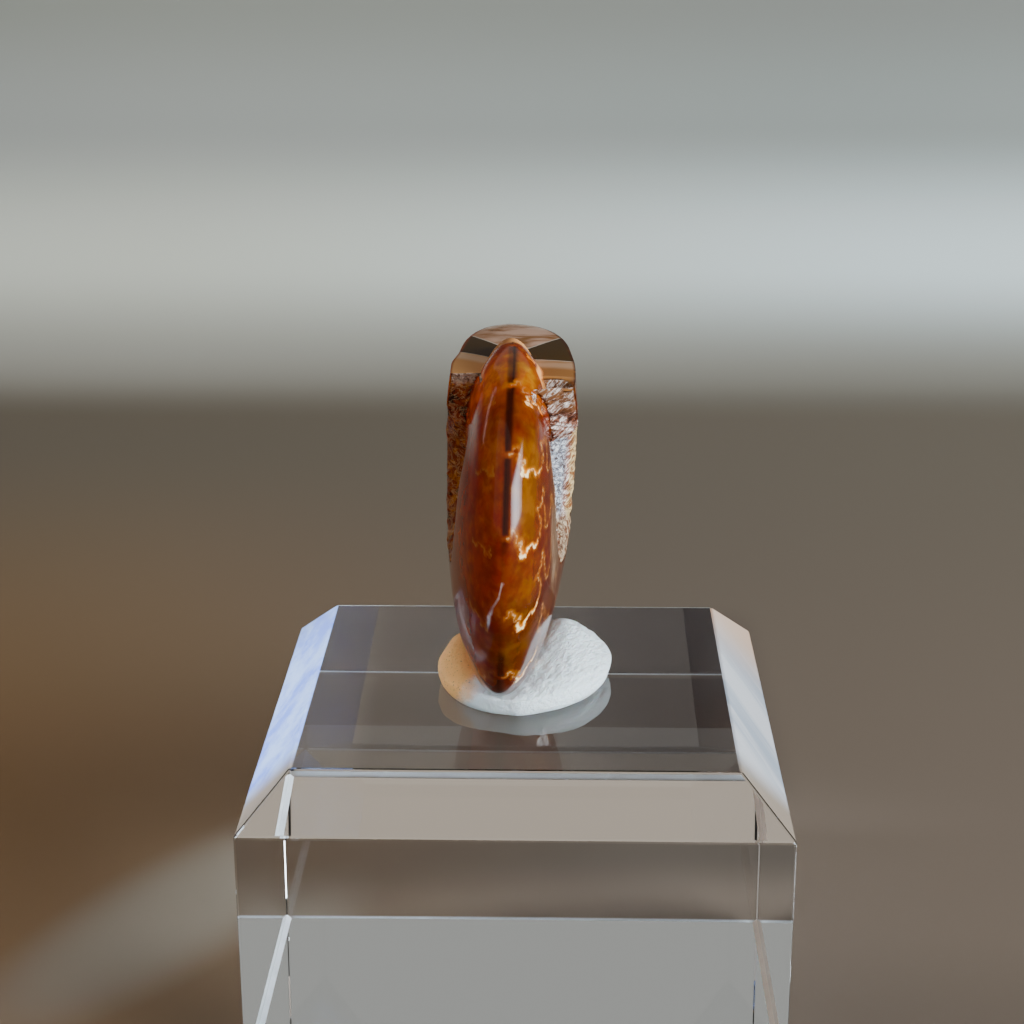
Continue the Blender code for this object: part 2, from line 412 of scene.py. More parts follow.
def slanted(x_factor, y_factor, offset):
    """Distance along a slanting axis: the sum of x and y, each times a factor, and an offset."""
    return studio.scaled(studio.y, y_factor, studio.scaled(studio.x, x_factor, offset))


# painted warm light: the near floor is browner and lighter at the left, towards the block
far = studio.step(studio.y, 0.02, 0.19)
leftward = studio.fade(studio.x, -0.12, 0.03)
floor_paint = studio.mix(far, studio.mix(leftward, *FLOOR_NEAR_WARM_LIT), studio.mix(leftward, *FLOOR_FAR))
# painted light: a soft lighter patch at the left front, for the light thrown through the block
across_patch = slanted(*PATCH_ACROSS)
along_patch = slanted(*PATCH_ALONG)
patch = studio.times(across_patch, across_patch)
patch = studio.plus(patch, studio.times(along_patch, along_patch))
floor_paint = studio.mix(studio.fade(patch, 0.0, 1.2), floor_paint, THROWN_LIGHT_COLOUR)

under_width = studio.fade(studio.size(studio.x), *BLOCK_EDGE)
# painted light: a bright thin line on the floor along the block's rear foot
rear_foot_light_line = studio.fade(studio.size(studio.sum("SUBTRACT", studio.y, REAR_FOOT)), 0.0001, 0.0005)
under = studio.product(studio.fade(studio.size(studio.y), 0.0240, 0.0250), under_width)
right_edge = studio.scaled(studio.step(studio.x, 0.018, 0.024), -0.5, 1.0)
painted_light_and_shade = (
    (studio.product(rear_foot_light_line, under_width), (0.80, 0.86, 0.92)),
    # painted shade: the floor under the block, darkened from the middle towards the right
    (
        studio.product(under, studio.step(studio.x, -0.001, 0.015), right_edge),
        (0.075, 0.038, 0.022),
    ),
    # painted light: the floor under the left bevel, lightened where the bevel's shadow falls
    (studio.product(under, studio.fade(studio.x, -0.0185, -0.0155)), (0.28, 0.20, 0.135)),
    # painted shade: a darker square on the floor behind the block
    (studio.product(studio.step(studio.y, 0.030, 0.040), studio.fade(studio.y, 0.085, 0.100),
            studio.step(studio.x, -0.022, 0.022), studio.fade(studio.x, 0.026, 0.034)),
     (0.105, 0.078, 0.056)),
)
for mask, colour in painted_light_and_shade:
    floor_paint = studio.mix(mask, floor_paint, colour)
floor_paint = studio.tint(studio.fade(studio.y, -0.014, 0.006), floor_paint, (0.80, 0.80, 0.80))
print("the floor has", len(painted_light_and_shade), "squares and lines under and behind the block")

# %% Wall paint
# painted light: a bright band low on the wall, cooler at the right, darker at its foot and head and
# towards the sides
WALL_FOOT = ((0.345, 0.325, 0.275), (0.255, 0.240, 0.200))
WALL_LIGHT_BANDS = (  # height where a band begins, height where it is full, its left and right colour
    (0.0005, 0.017, (0.570, 0.570, 0.480), (0.590, 0.660, 0.650)),
    (0.016, 0.046, (0.280, 0.280, 0.252), (0.212, 0.226, 0.206)),
    (0.046, 0.075, (0.222, 0.222, 0.187), (0.172, 0.173, 0.152)),
)
WALL_SHADE_ASIDE = (0.05, 0.045, 0.04)
rightward = studio.step(studio.x, -0.10, 0.10)
wall_paint = studio.mix(rightward, *WALL_FOOT)
for begin, full, left_colour, right_colour in WALL_LIGHT_BANDS:
    band = studio.mix(rightward, left_colour, right_colour)
    wall_paint = studio.mix(studio.step(studio.z, begin, full), wall_paint, band)
aside = studio.step(studio.size(studio.x), 0.14, 0.34)
wall_paint = studio.mix(aside, wall_paint, WALL_SHADE_ASIDE)
behind_bend = studio.step(studio.y, 0.198, 0.238)
studio.set(Base_Color=studio.mix(behind_bend, floor_paint, wall_paint), Roughness=0.85)
studio.done(stage)

# %% [markdown]
# ## The acrylic block
# The block is clear plastic with polished faces and wide bevels round its top.  Its shape is
# a profile carried round a square.  Real edges are never quite sharp: a hair-thin bevel along
# each one catches the light and draws the block's outline, and the two long edges of the foot
# are cut back a little more.  The faces stay flat-shaded, since a clear solid shows every bend
# of its surface.  The wide side bevels are satin, with painted light in their colour: blue at
# the left for the window light seen through the block, grey at the right with a painted peach
# reflection towards the rear, and browner at the front end.  The narrow ones at the foot and
# the rear are opaque and pale, a painted glint of light, blue-white at the rear and the left
# of the foot and peach at the right of the foot.

# %% Block shape
BLOCK_BEVEL = 4.6
EDGE_BEVEL = 0.22
FOOT_EDGE_BEVEL = 0.45
SHARP_EDGE = math.radians(20.0)


def square_ring(half_width, height):
    """The four corners of a square at one height."""
    corner = np.array([[-1.0, -1.0], [1.0, -1.0], [1.0, 1.0], [-1.0, 1.0]])
    return np.column_stack([corner * half_width, np.full(4, height)])


levels = [
    (BLOCK_WIDTH / 2, 0.0),
    (BLOCK_WIDTH / 2, BLOCK_HEIGHT - BLOCK_BEVEL),
    (BLOCK_WIDTH / 2 - BLOCK_BEVEL, BLOCK_HEIGHT),
]
rings = np.vstack([square_ring(*level) for level in levels]) * MM
sides = [
    (4 * level + a, 4 * level + (a + 1) % 4, 4 * level + 4 + (a + 1) % 4, 4 * level + 4 + a)
    for level in range(2) for a in range(4)
]
block_mesh = bpy.data.meshes.new("clear_block")
block_mesh.from_pydata(rings.tolist(), [], sides + [(3, 2, 1, 0), (8, 9, 10, 11)])
clear_block = bpy.data.objects.new("clear_block", block_mesh)
bpy.context.scene.collection.objects.link(clear_block)
print("the plain block has", len(block_mesh.polygons), "faces")


# %% Block edges
def ease_edges(work, edges, width, segments):
    """Cut each edge back by a narrow bevel of the given width in millimetres."""
    bmesh.ops.bevel(work, geom=edges, offset=width * MM, segments=segments, profile=0.5,
                    affect="EDGES")
    work.normal_update()


def at_foot(edge):
    """Whether an edge lies within a millimetre of the block's underside."""
    return max(vert.co.z for vert in edge.verts) < MM


def along_y(edge):
    """Whether an edge runs from front to back."""
    return abs(edge.verts[0].co.x - edge.verts[1].co.x) < 1e-6


work = bmesh.new()
work.from_mesh(block_mesh)
ease_edges(work, [edge for edge in work.edges if at_foot(edge) and along_y(edge)],
           FOOT_EDGE_BEVEL, 1)
beside = (BLOCK_WIDTH / 2 - 2.0) * MM
corners = [
    edge for edge in work.edges
    if edge.calc_face_angle(0.0) > SHARP_EDGE
    and not (at_foot(edge) and min(abs(vert.co.x) for vert in edge.verts) > beside)
]
ease_edges(work, corners, EDGE_BEVEL, 2)

# the foot and rear edge bevels get an opaque pale finish, a painted glint of light
CLEAR, SATIN, GLINT_LEFT, GLINT_RIGHT = range(4)
for face in work.faces:
    normal = face.normal
    narrow = face.calc_area() < 4e-5 and max(abs(part) for part in normal) < 0.995
    at_rear = face.calc_center_median().y > 0.0195 and abs(normal.x) < 0.05
    if min(normal.z, abs(normal.x)) > 0.15 and abs(normal.y) < 0.05:
        face.material_index = SATIN
    elif normal.z < -0.69 and abs(normal.x) > 0.69:
        face.material_index = GLINT_RIGHT if normal.x > 0.0 else GLINT_LEFT
    elif narrow and at_rear:
        face.material_index = GLINT_LEFT
work.to_mesh(block_mesh)
work.free()
print("the finished block has", len(block_mesh.polygons), "faces")

# %% Block finish
acrylic = Finish("clear_acrylic")
acrylic.set(
    Base_Color=(0.975, 0.985, 0.99), Roughness=0.0, IOR=1.51, Transmission_Weight=1.0
)
acrylic.done(clear_block)

satin = Finish("satin_bevel")
streak = satin.strands((0.0050, 0.040, 0.0050), (0.5, 0.0, 0.40), 5.0, 0.6, 0.4)
fine_streak = satin.strands((0.0009, 0.022, 0.0009), (0.5, 0.0, 0.62), 3.0, 0.6, 0.2)
streak = satin.step(satin.scaled(fine_streak, 0.22, satin.times(streak, 0.78)), 0.38, 0.62)
# painted light: blue at the left for window light seen through the block, grey with a painted peach
# reflection at the right, browner at the front end
left_bevel_light = satin.mix(streak, (0.22, 0.34, 0.94), (0.46, 0.62, 1.0))
right_bevel_light = satin.mix(streak, (0.39, 0.44, 0.52), (0.66, 0.66, 0.70))
right_bevel_light = satin.mix(satin.step(satin.y, 0.004, 0.022), right_bevel_light, (0.66, 0.42, 0.29))
bevel_painted_light = satin.mix(satin.step(satin.x, -0.001, 0.001), left_bevel_light, right_bevel_light)
front_end = satin.fade(satin.y, -0.0205, -0.0145)
bevel_painted_light = satin.mix(front_end, bevel_painted_light, (0.32, 0.25, 0.19))
satin.set(Base_Color=bevel_painted_light, Roughness=0.14, IOR=1.49, Transmission_Weight=0.10)
satin.done(clear_block)

# painted glint: blue-white for the rear and the left of the foot, peach for the right of the foot
EDGE_GLINT_FINISHES = (
    ("painted_glint_edge_left", (0.90, 0.95, 1.0)),
    ("painted_glint_edge_right", (1.0, 0.78, 0.60)),
)
for name, colour in EDGE_GLINT_FINISHES:
    bright = Finish(name)
    bright.set(Base_Color=colour, Roughness=0.3, IOR=1.49)
    bright.done(clear_block)
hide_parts("acrylic_block")
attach(clear_block, "root")

# %% [markdown]
# ## The putty
# The putty is a ball pressed flat by hand, pushed up higher at the right of the fossil than
# at the left.  It is worked out as a sphere whose points are spread outwards and whose top is
# a low lip with two lobes and a dip in front.  Fine wrinkles and dents are added along the way.
# It is white, with painted shade at the left: a tan that stands in for the amber-tinted shadow
# the stone casts there, where the border runs down to the left.

# %% Putty shape
PUTTY_CENTRE = (0.4, -0.2)
PUTTY_HALF_WIDTH = 8.5
PUTTY_HALF_DEPTH = 8.9
PUTTY_WAIST = 1.5
PUTTY_LIP = 2.9
PUTTY_SKEW = 0.2
PUTTY_LOBES = (  # centre x and y, height added there, reach along x and y
    (4.7, 2.0, 2.9, 4.0, 6.0),
    (-6.2, 1.0, 2.3, 2.2, 5.0),
    (-1.8, -8.2, -0.8, 2.2, 3.0),
)
PUTTY_SPREAD = -0.35
PUTTY_FLATNESS = 0.8
WRINKLE_HEIGHT = 0.07
PUTTY_GRID = (240, 120)


def putty_surface(around, down):
    """Points of the putty for an angle around it and an angle down from its top.

    A ball's point is pushed outwards by its distance from the axis to a negative power, then
    the upper half is stretched to the height of the lip and its lobes and the lower half is
    pressed flat on the block.
    """
    ball = np.stack([np.sin(down) * np.cos(around), np.sin(down) * np.sin(around),
                     np.cos(down) + 0.0 * around], axis=-1)
    flat = np.hypot(ball[..., 0], ball[..., 1])
    spread = np.where(flat > 1e-6, np.maximum(flat, 1e-6) ** PUTTY_SPREAD, 0.0)
    spread = spread * (1.0 + 0.03 * layered_grain(ball, 0.8, 5))
    x = PUTTY_CENTRE[0] + PUTTY_HALF_WIDTH * ball[..., 0] * spread
    y = PUTTY_CENTRE[1] + PUTTY_HALF_DEPTH * ball[..., 1] * spread
    y = y + PUTTY_SKEW * np.maximum(0.0, x)
    top = np.full_like(x, PUTTY_LIP)
    for cx, cy, extra, reach_x, reach_y in PUTTY_LOBES:
        top += extra * np.exp(-((x - cx) / reach_x) ** 2 - ((y - cy) / reach_y) ** 2)
    rise = np.where(ball[..., 2] > 0.0, top - PUTTY_WAIST, 2.0 * PUTTY_WAIST)
    z = PUTTY_WAIST + rise * np.sign(ball[..., 2]) * np.abs(ball[..., 2]) ** PUTTY_FLATNESS
    points = np.stack([x, y, z], axis=-1)
    wrinkle = layered_grain(points * (1.0, 0.55, 0.8), 0.55, 11, 3)
    points[..., 2] += WRINKLE_HEIGHT * wrinkle * ease(ball[..., 2] + 0.3)
    points[..., 2] = BLOCK_HEIGHT + np.maximum(0.02, points[..., 2])
    return points


around = np.linspace(0.0, 2.0 * math.pi, PUTTY_GRID[0], endpoint=False)[:, None]
down = np.linspace(0.0, math.pi, PUTTY_GRID[1] + 2)[None, 1:-1]
putty_points = putty_surface(around, down)
putty_poles = [putty_points[:, 0].mean(axis=0), putty_points[:, -1].mean(axis=0)]
putty = grid_object("putty", putty_points, closed_rows=True, poles=putty_poles)
tidy_mesh(putty)
putty.data.shade_smooth()

# %% Putty finish
dough = Finish("white_putty")
fibre = dough.strands((0.0003, 0.0011, 0.0004), (0.3, 0.2, -0.6), 6.0, 0.65, 0.6)
dent = dough.noise(0.9, 5.0, 0.6)
pit = dough.step(dough.noise(0.22, 2.0), 0.62, 0.72)
white_putty = dough.mix(fibre, (0.80, 0.93, 0.98), (0.92, 1.0, 1.0))
# painted shade: a tan at the left for the amber-tinted shadow of the stone, with darker pits in it
amber_shadow_colour = dough.mix(pit, (1.0, 0.50, 0.15), (0.40, 0.17, 0.05))
border = dough.plus(dough.x, dough.scaled(dough.z, -0.6, 0.0195))
border = dough.scaled(dough.noise(2.5, 4.0), 0.003, border)
amber_shadowed = dough.fade(border, -0.0036, -0.0014)
dough.set(
    Base_Color=dough.mix(amber_shadowed, white_putty, amber_shadow_colour),
    Roughness=0.75,
    Normal=dough.bump(dent, 0.30, dough.bump(fibre, 0.42)),
    Subsurface_Weight=0.10,
    Subsurface_Scale=0.001,
)
dough.done(putty)
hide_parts("mounting_putty")
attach(putty, "root")

# %% [markdown]
# ## The shape of the coil
# The keel of the shell, its outer edge, is a logarithmic spiral: each turn is 1.75 times as
# wide as the one before.  The section of a whorl is narrow at the keel, full on the flank and
# turns in at a rounded shoulder to the hollow centre, the umbilicus.  Growth is the angle in
# degrees counted along the spiral from the top of the coil, down the front, under the bottom
# and up the back.

# %% Sizes of the coil, in millimetres and degrees
# where two numbers are given by side, -1 is the left flank and 1 the right
COIL_PLACE = (-1.25, -1.0, BLOCK_HEIGHT + 20.3)
COIL_LEAN = math.radians(2.0)
COIL_YAW = math.radians(-1.2)
KEEL_RADIUS = 14.7
WHORL_EXPANSION = 1.75
FOOT_SWELL, FOOT_GROWTH, FOOT_REACH = 0.055, 153.0, 18.0
WHORLS = 3

HALF_THICKNESS = 4.0
THICKNESS_EXPANSION = 1.8
LARGEST_HALF_THICKNESS = {-1: 6.1, 1: 6.85}
LIMIT_POWER = 24.0
SWELL = {-1: 0.0, 1: 0.13}
SWELL_START, SWELL_LENGTH = 85.0, 150.0
WAIST, WAIST_GROWTH, WAIST_REACH = 0.08, 38.0, 20.0
END_TAPER = {-1: 0.04, 1: 0.07}
TAPER_START, TAPER_LENGTH = 290.0, 60.0

SHOULDER_DEPTH = 0.66
UMBILICAL_WALL = 0.11
FLANK_POWER = 1.5
TIP_FULLNESS = {-1: 1.1, 1: 1.6}
TIP_START, TIP_RISE, TIP_END, TIP_FALL = -2.0, 22.0, 75.0, 50.0


def keel_radius(growth):
    """Radius of the keel: 14.7 mm at the top, times 1.75 for each full turn of growth.

    It is swollen by a little where it comes down to the putty.
    """
    swell = 1.0 + FOOT_SWELL * np.exp(-((growth - FOOT_GROWTH) / FOOT_REACH) ** 2)
    return KEEL_RADIUS * WHORL_EXPANSION ** (growth / 360.0) * swell


def half_thickness(growth, side):
    """Half the thickness of the whorl: it grows with each turn and levels off at a limit.

    The two are joined smoothly: (free^-24 + limit^-24)^(-1/24).
    """
    free = HALF_THICKNESS * THICKNESS_EXPANSION ** (growth / 360.0)
    free = free * (1.0 + SWELL[side] * ease((growth - SWELL_START) / SWELL_LENGTH))
    limited = free ** -LIMIT_POWER + LARGEST_HALF_THICKNESS[side] ** -LIMIT_POWER
    limited = limited ** (-1.0 / LIMIT_POWER)
    limited = limited * (1.0 - WAIST * np.exp(-((growth - WAIST_GROWTH) / WAIST_REACH) ** 2))
    return limited * (1.0 - END_TAPER[side] * ease((growth - TAPER_START) / TAPER_LENGTH))


def whorl_width(radius, growth, side):
    """Half width of one whorl at a radius.

    It is the half thickness, times the root of 1 - (1 - flank)^power, where flank runs from 0
    at the keel to 1 at the shoulder, times the root of 1 - wall^2 down the umbilical wall.
    The power is 1.5, and up to 1.6 more near the tip, which makes the tip fuller.
    """
    depth = 1.0 - radius / keel_radius(growth)
    flank = np.clip(depth / SHOULDER_DEPTH, 0.0, 1.0)
    wall = np.clip((depth - SHOULDER_DEPTH) / UMBILICAL_WALL, 0.0, 1.0)
    near_tip = ease((growth - TIP_START) / TIP_RISE) * ease((TIP_END - growth) / TIP_FALL)
    power = FLANK_POWER + TIP_FULLNESS[side] * near_tip
    section = np.sqrt(1.0 - (1.0 - flank) ** power) * np.sqrt(1.0 - wall ** 2)
    return half_thickness(growth, side) * section


def coil_width(radius, turn, side):
    """Widest of the nested whorls, and the growth at which that whorl was laid down."""
    nested = [whorl_width(radius, turn - 360.0 * inner, side) for inner in range(WHORLS)]
    centre = half_thickness(-360.0 * WHORLS, side) * (radius < keel_radius(turn) / 2)
    stack = np.stack(nested + [centre])
    widest = np.argmax(stack, axis=0)
    return stack.max(axis=0), turn - 360.0 * widest


print("keel radius at the top and one turn on:", keel_radius(0.0), keel_radius(360.0))

# %% [markdown]
# ## The facet and the break
# The top of the fossil is ground to a facet, nearly flat but bowed a little from front to
# back.  It cuts the last whorl, and the whorl inside it stands up through the facet as a ridge.
# In front, the last whorl is broken off, a little further forward on the right than on the
# left, along a line that wanders.

# %% Facet and break, in millimetres and degrees
FACET_Z = BLOCK_HEIGHT + 32.6
FACET_CURVE = 200.0
FACET_CROWN = 0.15
FACET_BACK, FACET_FRONT = -62.0, 45.0
RIM_ROUNDING = {-1: 0.09, 1: 0.02}
RIM_REACH = 2.5
RIDGE_GROOVE = {-1: 0.0, 1: 1.8}
GROOVE_START, GROOVE_LENGTH = 19.0, 9.0
BREAK_ANGLE = {-1: 16.0, 1: 33.0}
BREAK_WIDTH = 4.0
BREAK_JAG = 4.0
BREAK_MARGIN = 8.0


def facet_radius(turn):
    """Distance from the coil's centre to the facet, whose height is z0 - y^2 / (2 curve).

    The height depends on y and y on the distance, so the two are worked out in turns.
    """
    angle = np.radians(turn)
    radius = np.full_like(turn, KEEL_RADIUS)
    for _ in range(8):
        y = COIL_PLACE[1] - radius * np.sin(angle)
        radius = (FACET_Z - y * y / (2.0 * FACET_CURVE) - COIL_PLACE[2]) / np.cos(angle)
    return radius


def break_edge(radius, side):
    """Direction in which the last whorl breaks off at each radius: a line that wanders."""
    table = np.linspace(0.0, 30.0, 241)
    wander = [noise.noise(Vector((0.55 * r, 3.0 * side, 0.0))) for r in table]
    return BREAK_ANGLE[side] + BREAK_JAG * np.interp(radius, table, wander)


print("the facet lies at radius", np.round(facet_radius(np.array([-45.0, 0.0, 30.0])), 2))

# %% [markdown]
# ## One surface for the whole stone
# The surface has one grid column for each direction round the coil.  Along a column the rows
# run from the umbilicus over the flank to the rim, across the polished facet to the foot of
# the inner whorl's ridge, and up the ridge to its keel.  Where there is no facet the same rows
# share out the plain flank.  Columns are close together at the front and the top, where the
# fine pattern and the broken edges are.

# %% Rows and columns
WALL_ROWS, FLANK_ROWS, FACET_ROWS, RIDGE_ROWS = 32, 20, 12, 32
WALL_END = 0.37
PLAIN_RIM = 0.75
PLAIN_FOOT = 0.5
LINING_REACH = {-1: 0.4, 1: 0.8}
LINING_ON_FACET = 4.0
LINING_MARGIN = 6.0
RIM_TURN = {-1: 3.0, 1: 2.0}
RIM_BACK, RIM_SLANT, RIM_SOFTNESS = -4.0, 15.0, 12.0


def column_angles():
    """Directions round the coil in degrees, closest together across the two broken edges."""
    steps = [(-48.0, 11.0, 0.6), (11.0, 23.0, 0.25), (23.0, 25.0, 0.5), (25.0, 38.0, 0.25),
             (38.0, 160.0, 0.62), (160.0, 250.0, 1.8), (250.0, 312.0, 1.2)]
    pieces = [np.arange(start, end - 1e-9, step) for start, end, step in steps]
    return np.concatenate(pieces)


def shares(count):
    """Equal steps from just above 0 up to 1, as one row of an array."""
    return np.linspace(0.0, 1.0, count + 1)[None, 1:]


def stone_side(turn, side):
    """Radius, half width and markings of one flank, as arrays shaped (columns, rows)."""
    signed = np.where(turn > 180.0, turn - 360.0, turn)[:, None]
    turn = np.mod(turn, 360.0)[:, None]
    keel = keel_radius(turn)
    near_top = (signed > FACET_BACK) & (signed < FACET_FRONT)
    cut = np.where(near_top, facet_radius(np.where(near_top, signed, 0.0)), keel)
    cut = np.minimum(cut, keel)
    facet = near_top & (cut < keel - 1e-6) & (signed < BREAK_ANGLE[side] + BREAK_MARGIN)
    behind = signed < 0.0

    # rim and foot of the ridge, with the shares that plain columns use
    plain = np.where(behind, ease((FACET_BACK - signed) / 33.0), ease((signed - 31.0) / 29.0))
    rim = cut + (PLAIN_RIM * keel - cut) * plain
    ridge = keel_radius(signed)
    brink = np.maximum(ridge, np.minimum(cut + 0.5, keel))
    crown = np.minimum(FACET_CROWN, 0.4 * (brink - cut))
    crown = crown * ease((BREAK_ANGLE[side] + 5.0 - signed) / 7.0) * facet
    groove = RIDGE_GROOVE[side] * ease((signed - GROOVE_START) / GROOVE_LENGTH) * facet
    chip = ease((signed - BREAK_ANGLE[side] + 1.5) / 1.5) * facet
    foot = rim + PLAIN_FOOT * plain * (keel - rim) + crown - groove
    top = np.where(facet & behind, np.maximum(ridge, foot), keel)

    # radii of the rows: umbilical wall, flank, facet, ridge
    unwound = turn + 360.0 * (1.0 - ease((signed - 8.0) / 40.0))
    whorl = keel_radius(np.where(behind, turn, unwound))
    wall_end = np.minimum(WALL_END * whorl, 0.8 * rim)
    wall_rows = np.interp(shares(WALL_ROWS), (0.0, 0.38, 0.90, 1.0), (0.0, 0.58, 0.93, 1.0))
    facet_rows = shares(FACET_ROWS)
    bend = np.where(facet, 1.0 - (1.0 - facet_rows) ** 2, facet_rows)
    radius = np.hstack([
        wall_end * wall_rows,
        wall_end + (rim - wall_end) * shares(FLANK_ROWS),
        rim + (foot - rim) * bend,
        top - (top - foot) * (1.0 - shares(RIDGE_ROWS)) ** 1.9,
    ])

    # widths: the outer whorl on the flank, the whorl inside it on the ridge
    outer, growth = coil_width(radius, turn, side)
    inner, inner_growth = coil_width(radius, signed, side)
    last = whorl_width(radius, turn + 360.0, side)
    held = ease((break_edge(radius, side) - signed) / BREAK_WIDTH + 0.5) * (np.abs(signed) < 90.0)
    last = last * held * (~behind)
    growth = np.where(last > outer, turn + 360.0, growth)
    flank_width = np.maximum(outer, last)
    rounding = RIM_ROUNDING[side] * ease(-signed / 25.0) * (behind & facet)
    rounded = flank_width * (1.0 - rounding * np.exp(-np.maximum(rim - radius, 0.0) / RIM_REACH))
    flank_width = np.where(rounded > inner, rounded, np.maximum(inner * behind, rounded))

    # the facet's rows run level from the rim to the foot of the ridge
    row = np.arange(radius.shape[1])[None, :]
    rim_row = WALL_ROWS + FLANK_ROWS - 1
    foot_row = rim_row + FACET_ROWS
    on_facet = facet & (row > rim_row) & (row <= foot_row)
    on_ridge = facet & (row > foot_row)
    rim_width = flank_width[:, rim_row:rim_row + 1]
    foot_width = np.where(ridge > foot, inner[:, foot_row:foot_row + 1], 0.0)
    level = rim_width + (foot_width - rim_width) * facet_rows
    facet_columns = slice(rim_row + 1, foot_row + 1)
    width = flank_width.copy()
    width[:, facet_columns] = np.where(facet, level, width[:, facet_columns])
    width = np.where(on_ridge, np.where(ridge > foot, inner, 0.0), width)
    width[:, -1] = 0.0
    growth = np.where(on_ridge, inner_growth, growth)

    # the lining: near the ridge's foot, and round its back as a slanting band
    up_ridge = LINING_REACH[side] * (radius - foot)
    up_ridge = np.minimum(up_ridge, 0.40 + (signed - RIM_TURN[side]) / RIM_SOFTNESS)
    height = np.clip((radius - foot) / np.maximum(top - foot, 0.1), 0.0, 1.0)
    band_back = RIM_BACK - RIM_SLANT * height
    up_ridge = np.maximum(up_ridge, 0.40 + (band_back - signed) / RIM_SOFTNESS)
    lining = np.where(row < foot_row, LINING_ON_FACET * (width - foot_width), up_ridge)
    lined = facet & (ridge > foot) & (row > rim_row)
    lined = lined & (signed < BREAK_ANGLE[side] - LINING_MARGIN)
    return {
        "radius": radius,
        "width": width,
        "growth": growth,
        "facet": (on_facet | (on_ridge & (ridge <= foot))) * 1.0,
        "scar": ease((last - outer) / 0.2) * ease((1.0 - held) / 0.06) * (row <= rim_row),
        "lining": np.where(lined, lining, 9.0),
        "chip": chip * (row > rim_row - 2) * (row <= foot_row),
        "groove": groove * ease((row - rim_row) / (0.6 * FACET_ROWS)) * (row <= foot_row),
    }


angles = column_angles()
flank = {side: stone_side(angles, side) for side in (-1, 1)}
print("columns", len(angles), "rows on each side", flank[1]["radius"].shape[1])

# %% Place the points
def coil_points(turn, radius, offset):
    """Place of a point: its direction round the coil, its radius and its offset sideways."""
    angle = np.radians(turn)[:, None]
    dy = -radius * np.sin(angle)
    dz = radius * np.cos(angle)
    x = COIL_PLACE[0] + math.tan(COIL_LEAN) * dz + math.tan(COIL_YAW) * dy + offset
    return np.stack([x, COIL_PLACE[1] + dy, COIL_PLACE[2] + dz], axis=-1)


def both_sides(key):
    """One array over the left flank, the keel and the right flank."""
    return np.hstack([flank[-1][key], flank[1][key][:, -2::-1]])


radius = both_sides("radius")
width = both_sides("width")
growth = both_sides("growth")
side_of = np.ones(radius.shape)
side_of[:, :flank[-1]["radius"].shape[1]] = -1.0
points = coil_points(angles, radius, side_of * width)
corners = [np.round(edge, 2) for edge in (points.min((0, 1)), points.max((0, 1)))]
print("the stone spans from", corners[0], "to", corners[1])

# %% [markdown]
# ## Sutures
# A suture is the frilled line where a chamber wall met the shell.  Half of one is drawn here
# as a path: the first number is the distance from the keel along the flank, as a share of the
# keel's radius, and the second is how far it strays along the growth, as a share of the space
# between two sutures.  The other half is its mirror image, and every suture is the same path
# scaled up with the shell.

# %% Suture path
SUTURE_START = 9.5
SUTURE_SPACING = 26.0
SUTURE = (
    (0.0, 0.0), (0.022, -0.03), (0.045, -0.10), (0.062, -0.02), (0.074, 0.09), (0.104, 0.03),
    (0.084, 0.17), (0.086, 0.24), (0.128, 0.265), (0.175, 0.15), (0.238, 0.22), (0.300, 0.06),
    (0.312, -0.11), (0.285, -0.23), (0.265, -0.31), (0.325, -0.40), (0.350, -0.62), (0.385, -0.23),
    (0.395, 0.01), (0.440, 0.05), (0.515, -0.20), (0.560, -0.50), (0.630, -0.05), (0.754, -0.10),
    (1.5, -0.10),
)
FRILL_LENGTH = 0.055
FRILL_DEPTH = 0.016


def smooth_path(knots, steps):
    """A curve through the knots: on each span, a cubic set by the two knots on either side."""
    knots = np.asarray(knots, float)
    ends = np.vstack([2 * knots[:1] - knots[1:2], knots, 2 * knots[-1:] - knots[-2:-1]])
    t = np.linspace(0.0, 1.0, steps, endpoint=False)[None, :, None]
    a, b, c, d = (ends[n:len(ends) - 3 + n, None, :] for n in range(4))
    span = 0.5 * (2 * b + (c - a) * t + (2 * a - 5 * b + 4 * c - d) * t ** 2
                  + (3 * b - a - 3 * c + d) * t ** 3)
    return np.vstack([span.reshape(-1, 2), knots[-1:]])


def frilled(path, wave, depth):
    """Push the path along its normal in rounded scallops: depth times |sin| of its length."""
    piece = np.diff(path, axis=0)
    length = np.concatenate([[0.0], np.cumsum(np.hypot(piece[:, 0], piece[:, 1]))])
    tangent = np.gradient(path, axis=0)
    tangent /= np.hypot(tangent[:, 0], tangent[:, 1])[:, None] + 1e-9
    normal = np.column_stack([-tangent[:, 1], tangent[:, 0]])
    scallop = np.abs(np.sin(np.pi * length / wave)) - 0.6
    start = ease(length / 0.05)
    return path + normal * (depth * scallop * start)[:, None]


ANGLE_SPACING = math.radians(SUTURE_SPACING)
suture = smooth_path([(a, s * ANGLE_SPACING) for a, s in SUTURE], 7)
suture = frilled(suture, FRILL_LENGTH, FRILL_DEPTH)
print("the suture path has", len(suture), "points")

# %% [markdown]
# To draw the line, each point of the stone needs to know how far it is from the nearest
# suture.  Distances are measured on the flank rolled out flat, where every suture is the same
# path again, one spacing further on.  A straight line drawn from a point in the direction of
# growth crosses a suture an odd number of times if the point is still behind it: that tells
# which chamber the point is in.

# %% Distance to the sutures
FLANK_RATIO = 0.28


